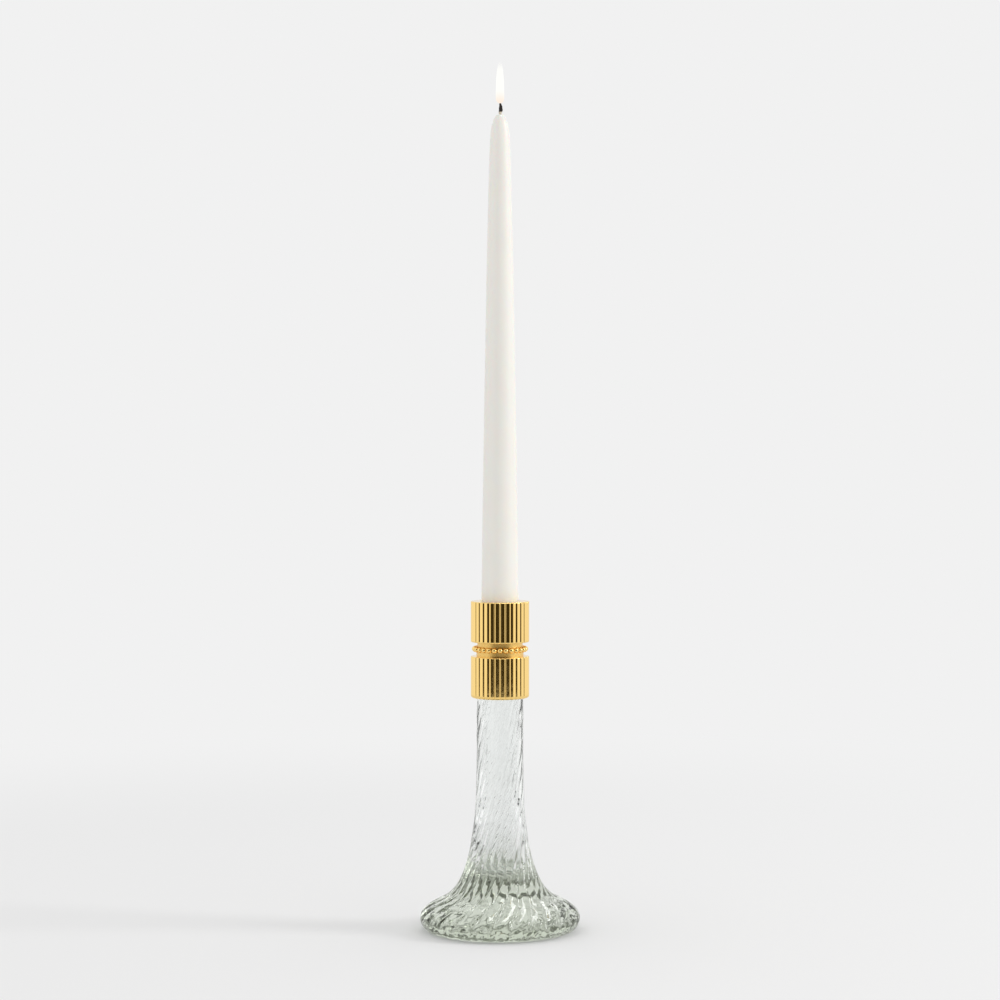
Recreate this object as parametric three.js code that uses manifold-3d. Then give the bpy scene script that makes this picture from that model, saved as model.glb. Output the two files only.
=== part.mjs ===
// Taper candle holder: a swirl-ribbed glass foot and stem, a reeded brass collar
// with a beaded waist, and a taper candle that lifts out of its socket.
// Millimetres, +Z up, origin at the centre of the face that the glass stands on.

import * as THREE from 'three';
import { mergeVertices } from 'three/addons/utils/BufferGeometryUtils.js';
import Module from 'manifold-3d';

const wasm = await Module();
wasm.setup();

// Glass foot and stem, outside
const baseRadius = 40.5;
const baseRingWidth = 6.5;
const undersideRise = 2;
const footRadius = 47.5;
const footEdgeHeight = 8.6;
const footEdgeRise = 5.3;
const shoulderRadius = 33.4;
const shoulderHeight = 20.3;
const shoulderSlope = 28.4;
const shoulderRunOut = 4.3;
const flareRunIn = 19.2;
const flareRunOut = 50.4;
const stemRadius = 13.8;
const stemStartHeight = 116.9;

// Swirled ribs in the glass
const glassRibCount = 26;
const footRibDepth = 2.8;
const stemRibDepth = 0.3;
const ribFade = 0.5;
const ribFlatness = 3;
const ribStartHeight = 6.4;
const ribFullHeight = 14;
const footRibLean = 27;
const stemRibLean = 14;

// Hollow of the stem: it ends in a round floor above the solid foot
const cavityFloorHeight = 31;
const cavityRadius = 15.6;
const cavityWidestHeight = 38;
const cavityNarrowing = 26;
const boreRadius = 11.3;
const boreStartHeight = 104;

// Brass collar
const ferruleBottomHeight = 139.1;
const ferruleHeight = 24.8;
const ferrulePlate = 3.2;
const waistHeight = 8.5;
const cupHeight = 24.2;
const bandRadius = 17.4;
const reedCount = 32;
const reedDepth = 0.5;
const bandChamfer = 0.5;
const ferruleBottomRound = 1.6;

// Glass neck in the ferrule
const neckClearance = 1.2;
const bondGap = 0.3;
const bondHeight = 15;
const bondInset = 2.5;
const gasketThickness = 1.2;
const gasketInset = 0.2;

// Beaded ring on the waist
const waistRadius = 14.0;
const waistStep = 0.5;
const beadCount = 28;
const beadRadius = 1.6;
const beadStandOff = 1.15;
const ringHeight = 2.2;
const ringThickness = 1.6;
const ringClearance = 0.15;

// Screw, washers and nut that clamp the collar
const screwRadius = 2.5;
const screwLength = 25;
const screwHeadRadius = 4.5;
const screwHeadHeight = 3;
const screwSlotWidth = 1.2;
const screwSlotDepth = 1.4;
const screwHoleClearance = 0.3;
const screwHeadClearance = 0.5;
const screwHeadCover = 0.8;
const threadClearance = 0.15;
const washerRadius = 5;
const washerThickness = 1;
const lockWasherRadius = 4.6;
const lockWasherThickness = 1.2;
const lockWasherGap = 0.8;
const nutAcrossFlats = 8;
const nutHeight = 4;

// Candle and wick
const candleLength = 303.8;
const candleBaseRadius = 11.05;
const candleInsert = 15.8;
const candleFit = 0.3;
const candleTipRadius = 6;
const candleTipHeight = 18;
const candleLowerFullness = 92.8;
const candleUpperFullness = 30;
const candleLowerDraw = 1.1;
const candleUpperDraw = 1.4;
const socketLeadIn = 0.6;
const wickRadius = 0.9;
const wickGap = 0.3;
const wickStandOut = 7.4;
const wickLean = 0.7;
const wickEndRadius = 0.6;

// Facets round each kind of piece, and levels along each curve
const ribPoints = 4;
const reedPoints = 3;
const roundSegments = 40;
const smallSegments = 24;
const candleSegments = 32;
const beadSegments = 8;
const beadRings = 4;
const wickSegments = 8;
const wickLevels = 3;
const heelLevels = 3;
const shoulderLevels = 5;
const flareLevels = 10;
const stemLevels = 4;
const undersideLevels = 5;
const cavityFloorLevels = 5;
const cavityWallLevels = 6;
const edgeLevels = 3;
const crownLevels = 4;
const taperLevels = 10;
const tipLevels = 5;
const cutOverrun = 1;

// Heights that follow from the sizes above
const ferruleTop = ferruleBottomHeight + ferruleHeight;
const ferruleCeiling = ferruleTop - ferrulePlate;
const glassTop = ferruleCeiling - gasketThickness;
const waistTop = ferruleTop + waistHeight;
const ringBottom = ferruleTop + (waistHeight - ringHeight) / 2;
const cupTop = waistTop + cupHeight;
const candleBottom = cupTop - candleInsert;
const candleTop = candleBottom + candleLength;
const screwSeat = candleBottom - screwHeadCover - screwHeadHeight;
const screwHoleRadius = screwRadius + screwHoleClearance;
const threadRadius = screwRadius + threadClearance;
const ferruleSocketRadius = stemRadius + neckClearance;
const candleSocketRadius = candleBaseRadius + candleFit;
const flatWasherTop = ferruleCeiling;
const lockWasherTop = flatWasherTop - washerThickness;
const nutTop = lockWasherTop - lockWasherThickness;

const vector = (x, y) => new THREE.Vector2(x, y);
const degrees = THREE.MathUtils.degToRad;

// Solid of a geometry, for cutting and joining
function solidOf(geometry) {
  const bare = geometry.clone();
  bare.deleteAttribute('normal');
  bare.deleteAttribute('uv');
  const merged = mergeVertices(bare);
  return new wasm.Manifold(new wasm.Mesh({
    numProp: 3,
    vertProperties: merged.attributes.position.array,
    triVerts: Uint32Array.from(merged.index.array),
  }));
}

// Geometry of a solid, after cutting and joining
function geometryOf(solid) {
  const mesh = solid.getMesh();
  const geometry = new THREE.BufferGeometry();
  geometry.setAttribute('position', new THREE.BufferAttribute(mesh.vertProperties, mesh.numProp));
  geometry.setIndex(new THREE.BufferAttribute(mesh.triVerts, 1));
  geometry.computeVertexNormals();
  return geometry;
}

// Body of revolution about Z from points of radius and height, lowest first on the outside
function turned(profile, segments = roundSegments) {
  return new THREE.LatheGeometry(profile, segments).rotateX(Math.PI / 2);
}

// Ring with a square section, from its inner and outer radius and its two heights
function squareRing(inner, outer, bottom, top, segments = roundSegments) {
  const corners = [[inner, bottom], [outer, bottom], [outer, top], [inner, top], [inner, bottom]];
  return turned(corners.map(([radius, height]) => vector(radius, height)), segments);
}

// Column of stacked sections: each level has a height, a radius for every angle, a turn and a shift
function column(pointCount, levels) {
  const circle = Array.from({ length: pointCount }, (_, index) => {
    const angle = (2 * Math.PI * index) / pointCount;
    return vector(Math.cos(angle), Math.sin(angle));
  });
  const steps = levels.length - 1;
  const geometry = new THREE.ExtrudeGeometry(new THREE.Shape(circle), {
    steps,
    depth: steps,
    bevelEnabled: false,
  });
  const position = geometry.attributes.position;
  for (let index = 0; index < position.count; index += 1) {
    const angle = Math.atan2(position.getY(index), position.getX(index));
    const level = levels[Math.round(position.getZ(index))];
    const radius = level.radiusAt(angle);
    const turn = angle + (level.turn ?? 0);
    const x = radius * Math.cos(turn) + (level.shift ?? 0);
    position.setXYZ(index, x, radius * Math.sin(turn), level.height);
  }
  return geometry;
}

// Outside of the glass from the flat base to the rim, as radius and height
function glassProfile() {
  const slope = degrees(shoulderSlope);
  const along = vector(-Math.cos(slope), Math.sin(slope));
  const shoulder = vector(shoulderRadius, shoulderHeight);
  const heel = new THREE.EllipseCurve(
    baseRadius, footEdgeHeight, footRadius - baseRadius, footEdgeHeight, -Math.PI / 2, 0,
  );
  const edge = new THREE.CubicBezierCurve(
    vector(footRadius, footEdgeHeight),
    vector(footRadius, footEdgeHeight + footEdgeRise),
    shoulder.clone().addScaledVector(along, -shoulderRunOut),
    shoulder,
  );
  const flare = new THREE.CubicBezierCurve(
    shoulder,
    shoulder.clone().addScaledVector(along, flareRunIn),
    vector(stemRadius, stemStartHeight - flareRunOut),
    vector(stemRadius, stemStartHeight),
  );
  const stem = new THREE.LineCurve(vector(stemRadius, stemStartHeight), vector(stemRadius, glassTop));
  return [
    ...heel.getPoints(heelLevels),
    ...edge.getPoints(shoulderLevels).slice(1),
    ...flare.getPoints(flareLevels).slice(1),
    ...stem.getPoints(stemLevels).slice(1),
  ];
}

// Hollow of the stem, open at the rim
function glassCavity() {
  const floor = new THREE.EllipseCurve(
    0, cavityWidestHeight, cavityRadius, cavityWidestHeight - cavityFloorHeight, -Math.PI / 2, 0,
  );
  const wall = new THREE.CubicBezierCurve(
    vector(cavityRadius, cavityWidestHeight),
    vector(cavityRadius, cavityWidestHeight + cavityNarrowing),
    vector(boreRadius, boreStartHeight - cavityNarrowing),
    vector(boreRadius, boreStartHeight),
  );
  return turned([
    ...floor.getPoints(cavityFloorLevels),
    ...wall.getPoints(cavityWallLevels).slice(1),
    vector(boreRadius, glassTop + cutOverrun),
    vector(0, glassTop + cutOverrun),
  ]);
}

// Shallow hollow under the foot, inside the ring that it stands on
function glassUnderside() {
  const hollowRadius = baseRadius - baseRingWidth;
  const dome = new THREE.EllipseCurve(0, 0, hollowRadius, undersideRise, 0, Math.PI / 2);
  return turned([
    vector(0, -cutOverrun),
    vector(hollowRadius, -cutOverrun),
    ...dome.getPoints(undersideLevels).slice(0, -1),
    vector(0, undersideRise),
  ]);
}

// The ribs start at the edge of the foot. They lean less and fade as the glass narrows to the stem,
// and each is nearly flat over its crest and falls away steeply into the valley.
function makeGlassBase() {
  const profile = glassProfile();
  const acrossRib = (angle) => Math.acos(Math.cos(glassRibCount * angle)) / Math.PI;
  let turn = 0;
  const levels = profile.map((point, index) => {
    const last = profile[Math.max(index - 1, 0)];
    const flared = Math.max(point.x - stemRadius, 0) / (footRadius - stemRadius);
    const lean = degrees(THREE.MathUtils.lerp(stemRibLean, footRibLean, flared));
    turn += (Math.tan(lean) * point.distanceTo(last)) / ((point.x + last.x) / 2);
    const grown = THREE.MathUtils.clamp((point.y - ribStartHeight) / (ribFullHeight - ribStartHeight), 0, 1);
    const depth = grown * THREE.MathUtils.lerp(stemRibDepth, footRibDepth, flared ** ribFade);
    const radiusAt = (angle) => point.x - depth * acrossRib(angle) ** ribFlatness;
    return { height: point.y, radiusAt, turn };
  });
  const outside = solidOf(column(glassRibCount * ribPoints, levels));
  return geometryOf(outside.subtract(solidOf(glassCavity())).subtract(solidOf(glassUnderside())));
}

// Radius of a reeded band: rounded ribs side by side, with a sharp valley at angle 0
function reedRadius(angle) {
  return bandRadius - reedDepth * (1 - Math.abs(Math.sin((reedCount * angle) / 2)));
}

// Reeded band with its lower edge rounded and its upper edge broken
function reededBand(bottom, top, lowerEdge, upperEdge) {
  const at = (height, inset) => ({ height, radiusAt: (angle) => reedRadius(angle) - inset });
  const edge = new THREE.EllipseCurve(
    lowerEdge, bottom + lowerEdge, lowerEdge, lowerEdge, Math.PI, 1.5 * Math.PI,
  );
  const rounding = edge.getPoints(edgeLevels).reverse();
  return column(reedCount * reedPoints, [
    ...rounding.map((point) => at(point.y, point.x)),
    at(top - upperEdge, 0),
    at(top, upperEdge),
  ]);
}

// Lower band: it stands over the glass neck and closes above it with a plate
function makeFerrule() {
  const socket = turned([
    vector(0, ferruleBottomHeight - cutOverrun),
    vector(ferruleSocketRadius, ferruleBottomHeight - cutOverrun),
    vector(ferruleSocketRadius, ferruleCeiling),
    vector(screwHoleRadius, ferruleCeiling),
    vector(screwHoleRadius, ferruleTop + cutOverrun),
    vector(0, ferruleTop + cutOverrun),
  ]);
  const band = reededBand(ferruleBottomHeight, ferruleTop, ferruleBottomRound, bandChamfer);
  return geometryOf(solidOf(band).subtract(solidOf(socket)));
}

// Upper band: a socket for the candle over a counterbore for the screw head
function makeCandleCup() {
  const socket = turned([
    vector(0, waistTop - cutOverrun),
    vector(screwHoleRadius, waistTop - cutOverrun),
    vector(screwHoleRadius, screwSeat),
    vector(screwHeadRadius + screwHeadClearance, screwSeat),
    vector(screwHeadRadius + screwHeadClearance, candleBottom),
    vector(candleSocketRadius, candleBottom),
    vector(candleSocketRadius, cupTop - socketLeadIn),
    vector(candleSocketRadius + socketLeadIn, cupTop),
    vector(candleSocketRadius + socketLeadIn, cupTop + cutOverrun),
    vector(0, cupTop + cutOverrun),
  ]);
  const band = reededBand(waistTop, cupTop, bandChamfer, bandChamfer);
  return geometryOf(solidOf(band).subtract(solidOf(socket)));
}

// Spacer between the bands, with a step that the beaded ring sits on
function makeWaistSpool() {
  return turned([
    vector(screwHoleRadius, ferruleTop),
    vector(waistRadius, ferruleTop),
    vector(waistRadius, ringBottom),
    vector(waistRadius - waistStep, ringBottom),
    vector(waistRadius - waistStep, waistTop),
    vector(screwHoleRadius, waistTop),
    vector(screwHoleRadius, ferruleTop),
  ]);
}

// Flat-backed ring of beads that slips over the spacer down to its step
function makeBeadedRing() {
  const inner = waistRadius - waistStep + ringClearance;
  const beadCircle = waistRadius + beadStandOff;
  let ring = solidOf(squareRing(inner, inner + ringThickness, ringBottom, ringBottom + ringHeight));
  for (let index = 0; index < beadCount; index += 1) {
    const bead = new THREE.SphereGeometry(beadRadius, beadSegments, beadRings);
    bead.translate(beadCircle, 0, 0).rotateZ((2 * Math.PI * index) / beadCount);
    bead.translate(0, 0, ringBottom + ringHeight / 2);
    ring = ring.add(solidOf(bead));
  }
  const spacer = turned([
    vector(0, ferruleTop),
    vector(waistRadius + ringClearance, ferruleTop),
    vector(waistRadius + ringClearance, ringBottom),
    vector(inner, ringBottom),
    vector(inner, waistTop),
    vector(0, waistTop),
  ]);
  return geometryOf(ring.subtract(solidOf(spacer)));
}

// Machine screw with a slotted pan head, reached from the candle's socket
function makeCupScrew() {
  const crown = new THREE.EllipseCurve(
    0, screwSeat + screwHeadHeight / 2, screwHeadRadius, screwHeadHeight / 2, 0, Math.PI / 2,
  );
  const body = turned([
    vector(0, screwSeat - screwLength),
    vector(screwRadius, screwSeat - screwLength),
    vector(screwRadius, screwSeat),
    vector(screwHeadRadius, screwSeat),
    ...crown.getPoints(crownLevels).slice(0, -1),
    vector(0, screwSeat + screwHeadHeight),
  ], smallSegments);
  const slotLength = 2 * (screwHeadRadius + cutOverrun);
  const slot = new THREE.BoxGeometry(slotLength, screwSlotWidth, 2 * screwSlotDepth);
  slot.translate(0, 0, screwSeat + screwHeadHeight);
  return geometryOf(solidOf(body).subtract(solidOf(slot)));
}

// Split spring washer
function makeLockWasher() {
  const half = Math.asin(lockWasherGap / 2 / lockWasherRadius);
  const outline = new THREE.Shape();
  outline.absarc(0, 0, lockWasherRadius, half, 2 * Math.PI - half, false);
  outline.absarc(0, 0, threadRadius, 2 * Math.PI - half, half, true);
  const washer = new THREE.ExtrudeGeometry(outline, {
    depth: lockWasherThickness,
    bevelEnabled: false,
    curveSegments: smallSegments / 2,
  });
  return washer.translate(0, 0, lockWasherTop - lockWasherThickness);
}

function makeHexNut() {
  const corner = nutAcrossFlats / 2 / Math.cos(Math.PI / 6);
  const outline = new THREE.Shape(Array.from({ length: 6 }, (_, index) => {
    const angle = (Math.PI * index) / 3;
    return vector(corner * Math.cos(angle), corner * Math.sin(angle));
  }));
  outline.holes.push(new THREE.Path().absarc(0, 0, threadRadius, 0, 2 * Math.PI, true));
  const nut = new THREE.ExtrudeGeometry(outline, {
    depth: nutHeight,
    bevelEnabled: false,
    curveSegments: smallSegments / 2,
  });
  return nut.translate(0, 0, nutTop - nutHeight);
}

// Taper candle, cast round its wick: straight in the socket, then drawn in to a rounded tip
function makeCandle() {
  const tipStart = candleTop - candleTipHeight;
  const hole = wickRadius + wickGap;
  const taper = new THREE.CubicBezierCurve(
    vector(candleBaseRadius, cupTop),
    vector(candleBaseRadius - candleLowerDraw, cupTop + candleLowerFullness),
    vector(candleTipRadius + candleUpperDraw, tipStart - candleUpperFullness),
    vector(candleTipRadius, tipStart),
  );
  const tip = new THREE.EllipseCurve(
    hole, tipStart, candleTipRadius - hole, candleTipHeight, 0, Math.PI / 2,
  );
  return turned([
    vector(hole, candleBottom),
    vector(candleBaseRadius, candleBottom),
    ...taper.getPoints(taperLevels),
    ...tip.getPoints(tipLevels).slice(1),
    vector(hole, candleBottom),
  ], candleSegments);
}

// Wick through the whole candle, curling over where it stands out and has burnt
function makeWick() {
  const curl = new THREE.CubicBezierCurve(
    vector(0, candleTop),
    vector(0, candleTop + wickStandOut / 2),
    vector(wickLean, candleTop + wickStandOut / 2),
    vector(wickLean, candleTop + wickStandOut),
  );
  const at = (point, radius) => ({ height: point.y, shift: point.x, radiusAt: () => radius });
  return column(wickSegments, [
    at(vector(0, candleBottom), wickRadius),
    ...curl.getPoints(wickLevels).map((point, index) => at(
      point,
      THREE.MathUtils.lerp(wickRadius, wickEndRadius, index / wickLevels),
    )),
  ]);
}

const gasketInner = boreRadius + gasketInset;
const neckOutside = stemRadius + bondGap;
const bondOutside = ferruleSocketRadius - bondGap;
const bondBottom = ferruleBottomHeight + bondInset;

const finishes = {
  glass: { color: 0xdfeae2, roughness: 0.05, metalness: 0, transparent: true, opacity: 0.4 },
  brass: { color: 0xd9a941, roughness: 0.22, metalness: 1 },
  steel: { color: 0xb9bcc0, roughness: 0.35, metalness: 1 },
  rubber: { color: 0xd8d6cf, roughness: 0.8, metalness: 0 },
  compound: { color: 0xe6e2d4, roughness: 0.7, metalness: 0 },
  wax: { color: 0xf1ede2, roughness: 0.5, metalness: 0 },
  cotton: { color: 0x2c241f, roughness: 0.95, metalness: 0 },
};

const pieces = [
  ['glass_base', makeGlassBase(), 'glass'],
  ['rim_gasket', squareRing(gasketInner, stemRadius, glassTop, ferruleCeiling), 'rubber'],
  ['glass_bond', squareRing(neckOutside, bondOutside, bondBottom, bondBottom + bondHeight), 'compound'],
  ['ferrule', makeFerrule(), 'brass'],
  ['waist_spool', makeWaistSpool(), 'brass'],
  ['beaded_ring', makeBeadedRing(), 'brass'],
  ['candle_cup', makeCandleCup(), 'brass'],
  ['cup_screw', makeCupScrew(), 'steel'],
  ['flat_washer', squareRing(
    screwHoleRadius, washerRadius, lockWasherTop, flatWasherTop, smallSegments,
  ), 'steel'],
  ['lock_washer', makeLockWasher(), 'steel'],
  ['hex_nut', makeHexNut(), 'steel'],
  ['candle', makeCandle(), 'wax'],
  ['wick', makeWick(), 'cotton'],
];

const holder = new THREE.Group();
for (const [name, geometry, finish] of pieces) {
  const mesh = new THREE.Mesh(geometry, new THREE.MeshStandardMaterial(finishes[finish]));
  mesh.name = name;
  holder.add(mesh);
}

export default holder;
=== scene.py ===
# %% [markdown]
# # A taper candle holder of swirled glass and reeded brass
# The real object is a blown glass foot drawn up into a hollow stem, a brass collar of two
# reeded bands with a ring of beads between them, and a white taper candle. The measured part
# is loaded first. It stays where it is, and most of the heights at which pieces meet are read
# from it, so that the finer pieces made here land where the measured ones are.

# %% Load the measured part
import math
from collections import namedtuple

import bmesh
import bpy
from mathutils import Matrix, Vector
from mathutils.geometry import interpolate_bezier


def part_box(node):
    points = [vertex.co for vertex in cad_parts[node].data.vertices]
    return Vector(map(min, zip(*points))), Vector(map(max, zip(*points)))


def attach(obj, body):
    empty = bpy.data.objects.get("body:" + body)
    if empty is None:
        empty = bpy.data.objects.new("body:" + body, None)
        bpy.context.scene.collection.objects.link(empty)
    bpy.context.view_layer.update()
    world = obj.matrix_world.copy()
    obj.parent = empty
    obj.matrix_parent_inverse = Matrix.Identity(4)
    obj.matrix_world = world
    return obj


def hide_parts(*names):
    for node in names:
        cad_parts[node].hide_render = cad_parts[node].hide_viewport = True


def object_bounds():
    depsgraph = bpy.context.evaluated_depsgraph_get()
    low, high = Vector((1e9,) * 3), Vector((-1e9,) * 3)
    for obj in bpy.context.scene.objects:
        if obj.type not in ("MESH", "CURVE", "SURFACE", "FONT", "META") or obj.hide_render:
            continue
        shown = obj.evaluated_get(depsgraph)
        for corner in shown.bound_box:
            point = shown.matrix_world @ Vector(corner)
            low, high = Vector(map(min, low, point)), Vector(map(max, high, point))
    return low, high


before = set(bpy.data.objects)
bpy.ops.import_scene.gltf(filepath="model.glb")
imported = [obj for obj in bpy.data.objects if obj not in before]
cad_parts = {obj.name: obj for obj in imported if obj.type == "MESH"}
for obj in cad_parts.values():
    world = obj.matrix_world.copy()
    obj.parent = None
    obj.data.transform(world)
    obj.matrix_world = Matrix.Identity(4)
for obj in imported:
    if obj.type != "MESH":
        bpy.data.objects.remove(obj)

MM = 0.001
cad_low, cad_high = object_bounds()
print("measured part, mm:", [round(side / MM, 1) for side in cad_high - cad_low])

# %% [markdown]
# ## A way to make round ribbed work
# The glass, the brass bands and the candle are all round, and two of them carry ribs. A section
# turned by a Screw modifier would be quicker, but it only gives plain round work. A rib repeats,
# so one is modelled: an arc of a circle, one rib wide, is extruded from station to station along
# the section. At each station its points are scaled in or out, so that the valleys lie deeper
# than the crest, and the row is turned a little where the ribs swirl. Spinning copies of that
# strip round the axis then closes the piece. A plain round piece is the same thing with ribs of
# no depth.

# %% Pick points by their place
def pick(piece, wanted):
    """Select the vertices for which wanted(vertex) holds, with the edges between them."""
    bpy.ops.mesh.select_all(action="DESELECT")
    mesh = bmesh.from_edit_mesh(piece.data)
    for vertex in mesh.verts:
        if wanted(vertex):
            vertex.select = True
    mesh.select_flush(True)
    bmesh.update_edit_mesh(piece.data)


# %% Start a strip that is one rib wide
# How many ribs go round, the steps across one, and the dip from 0 at its crest to 1 at its valley
Ribs = namedtuple("Ribs", "count across dip")


def start_strip(name, ribs, radius, height):
    """Add a circle at its size and place, and keep the arc that one rib takes, centred on +X."""
    bpy.ops.object.select_all(action="DESELECT")
    points = ribs.count * ribs.across
    bpy.ops.mesh.primitive_circle_add(vertices=points, radius=radius, location=(0, 0, height))
    piece = bpy.context.object
    piece.name = piece.data.name = name
    bpy.ops.object.transform_apply(location=True, rotation=True, scale=True)
    bpy.ops.object.mode_set(mode="EDIT")
    bpy.ops.mesh.select_mode(type="VERT")
    reach = math.pi / ribs.count + math.pi / points
    pick(piece, lambda vertex: abs(math.atan2(vertex.co.y, vertex.co.x)) > reach)
    bpy.ops.mesh.delete(type="VERT")
    bpy.ops.mesh.select_all(action="SELECT")
    return piece


# %% Shape one row of the strip
def shape_row(piece, ribs, radius, depth, turn):
    """Scale the selected row so that each point lies at its radius, by its share of the half rib."""
    mesh = bmesh.from_edit_mesh(piece.data)
    mesh.verts.index_update()
    rows = {}
    for vertex in mesh.verts:
        if vertex.select:
            angle = math.atan2(vertex.co.y, vertex.co.x) - turn
            angle = (angle + math.pi) % (2 * math.pi) - math.pi
            step = abs(round(angle * ribs.count * ribs.across / (2 * math.pi)))
            rows.setdefault(step, []).append((vertex.index, vertex.co.xy.length))
    for step, row in rows.items():
        chosen = {index for index, _ in row}
        pick(piece, lambda vertex: vertex.index in chosen)
        scale = (radius - depth * ribs.dip(2 * step / ribs.across)) / row[0][1]
        bpy.ops.transform.resize(value=(scale, scale, 1), center_override=(0, 0, 0))
    everything = {index for row in rows.values() for index, _ in row}
    pick(piece, lambda vertex: vertex.index in everything)


# %% Draw the strip out from station to station
def draw_strip(piece, ribs, stations, turned=0.0):
    """Extrude the selected row through stations of (radius, height, depth, turn)."""
    height_now = stations[0][1]
    for number, (radius, height, depth, turn) in enumerate(stations):
        if number:
            rise = (0, 0, height - height_now)
            bpy.ops.mesh.extrude_region_move(TRANSFORM_OT_translate={"value": rise})
        shape_row(piece, ribs, radius, depth, turned)
        if turn != turned:
            bpy.ops.transform.rotate(value=turned - turn, orient_axis="Z", center_override=(0, 0, 0))
        height_now, turned = height, turn


# %% Spin the copies and close the piece
WELD = 0.002 * MM
# A ring of this radius is welded into a single point
POINT = WELD / 4


def close_round(piece, copies):
    """Copy the strip round the axis, weld the seams and turn the faces outward."""
    bpy.ops.mesh.select_all(action="SELECT")
    angle = 2 * math.pi * (copies - 1) / copies
    bpy.ops.mesh.spin(steps=copies - 1, dupli=True, angle=angle, center=(0, 0, 0), axis=(0, 0, 1))
    bpy.ops.mesh.select_all(action="SELECT")
    bpy.ops.mesh.remove_doubles(threshold=WELD)
    bpy.ops.mesh.normals_make_consistent(inside=False)
    bpy.ops.object.mode_set(mode="OBJECT")
    bpy.ops.object.shade_smooth()
    print(piece.name, "faces:", len(piece.data.polygons))
    return piece


# %% [markdown]
# ## The glass foot and stem
# The foot is thick, solid glass, blown into a ribbed mould and then twisted, so the ribs swirl
# as they climb. The stem is hollow down to a rounded floor just above the foot. A Simple Deform
# modifier could twist a straight-ribbed foot, but with one rate of turn from bottom to top. Here
# the strip follows the whole section, out over the ring that it stands on, round the edge, up
# the flare and the stem, over the rim and down the bore to the floor, and each station has a turn
# and a depth of its own. The ribs are nearly flat, with narrow valleys. They start at the edge of
# the foot, lean less where the glass was drawn out into the stem, and fade as it narrows.

# %% The heel of the glass
BASE_RADIUS = 40.5 * MM
FOOT_RADIUS = 47.5 * MM
EDGE_HEIGHT = 8.6 * MM
HEEL_STEPS = 12
outside = []
for step in range(HEEL_STEPS + 1):
    angle = math.pi / 2 * step / HEEL_STEPS
    reach = (FOOT_RADIUS - BASE_RADIUS) * math.sin(angle)
    outside.append(Vector((BASE_RADIUS + reach, EDGE_HEIGHT * (1 - math.cos(angle)))))
print("glass heel, stations:", len(outside))

# %% The flare and the stem
SHOULDER = Vector((33.4 * MM, 20.3 * MM))
SHOULDER_SLOPE = math.radians(28.4)
STEM_RADIUS = 13.8 * MM
STEM_START = 116.9 * MM
GLASS_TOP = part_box("glass_base")[1].z
# A pull is the handle of a Bezier curve: how far the curve leaves its end in that direction
EDGE_PULL = Vector((0, 5.3 * MM))
PULL_BELOW = 4.3 * MM
PULL_ABOVE = 19.2 * MM
STEM_PULL = Vector((0, 50.4 * MM))
SHOULDER_STEPS = 16
FLARE_STEPS = 50
STEM_STEPS = 20


def bow(start, first, second, end, points):
    """Points of a Bezier curve of radius and height, without its first one."""
    return interpolate_bezier(start, first, second, end, points + 1)[1:]


along = Vector((-math.cos(SHOULDER_SLOPE), math.sin(SHOULDER_SLOPE)))
edge_top = Vector((FOOT_RADIUS, EDGE_HEIGHT))
stem_foot = Vector((STEM_RADIUS, STEM_START))
outside += bow(edge_top, edge_top + EDGE_PULL, SHOULDER - along * PULL_BELOW, SHOULDER, SHOULDER_STEPS)
outside += bow(SHOULDER, SHOULDER + along * PULL_ABOVE, stem_foot - STEM_PULL, stem_foot, FLARE_STEPS)
for step in range(1, STEM_STEPS + 1):
    outside.append(Vector((STEM_RADIUS, STEM_START + (GLASS_TOP - STEM_START) * step / STEM_STEPS)))
print("glass outside, stations:", len(outside))

# %% Ribs that lean and fade
STEM_LEAN = math.radians(14)
FOOT_LEAN = math.radians(27)
FOOT_RIB = 2.8 * MM
STEM_RIB = 0.3 * MM
RIB_START = 6.4 * MM
RIB_FULL = 14 * MM
SWIRL = Ribs(count=26, across=14, dip=lambda share: share ** 3)


def flared(radius):
    """0 on the stem and 1 at the foot's widest."""
    return max((radius - STEM_RADIUS) / (FOOT_RADIUS - STEM_RADIUS), 0.0)


def rib_depth(point):
    """Depth of the ribs at this point of the outside."""
    grown = min(max((point.y - RIB_START) / (RIB_FULL - RIB_START), 0.0), 1.0)
    return grown * (STEM_RIB + (FOOT_RIB - STEM_RIB) * math.sqrt(flared(point.x)))


# %% Stations of the outside, from the ring it stands on to the rim
BASE_RING = 6.5 * MM
RING_SHARES = (0, 0.33, 0.67)
inner_ring = BASE_RADIUS - BASE_RING
glass_stations = [(inner_ring + BASE_RING * share, 0.0, 0.0, 0.0) for share in RING_SHARES]
turn = 0.0
before = outside[0]
for point in outside:
    middle = (point + before) / 2
    lean = STEM_LEAN + (FOOT_LEAN - STEM_LEAN) * flared(middle.x)
    turn += math.tan(lean) * (point - before).length / middle.x
    glass_stations.append((point.x, point.y, rib_depth(point), turn))
    before = point
print("ribs turn through", round(math.degrees(turn)), "degrees from base to rim")

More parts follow.
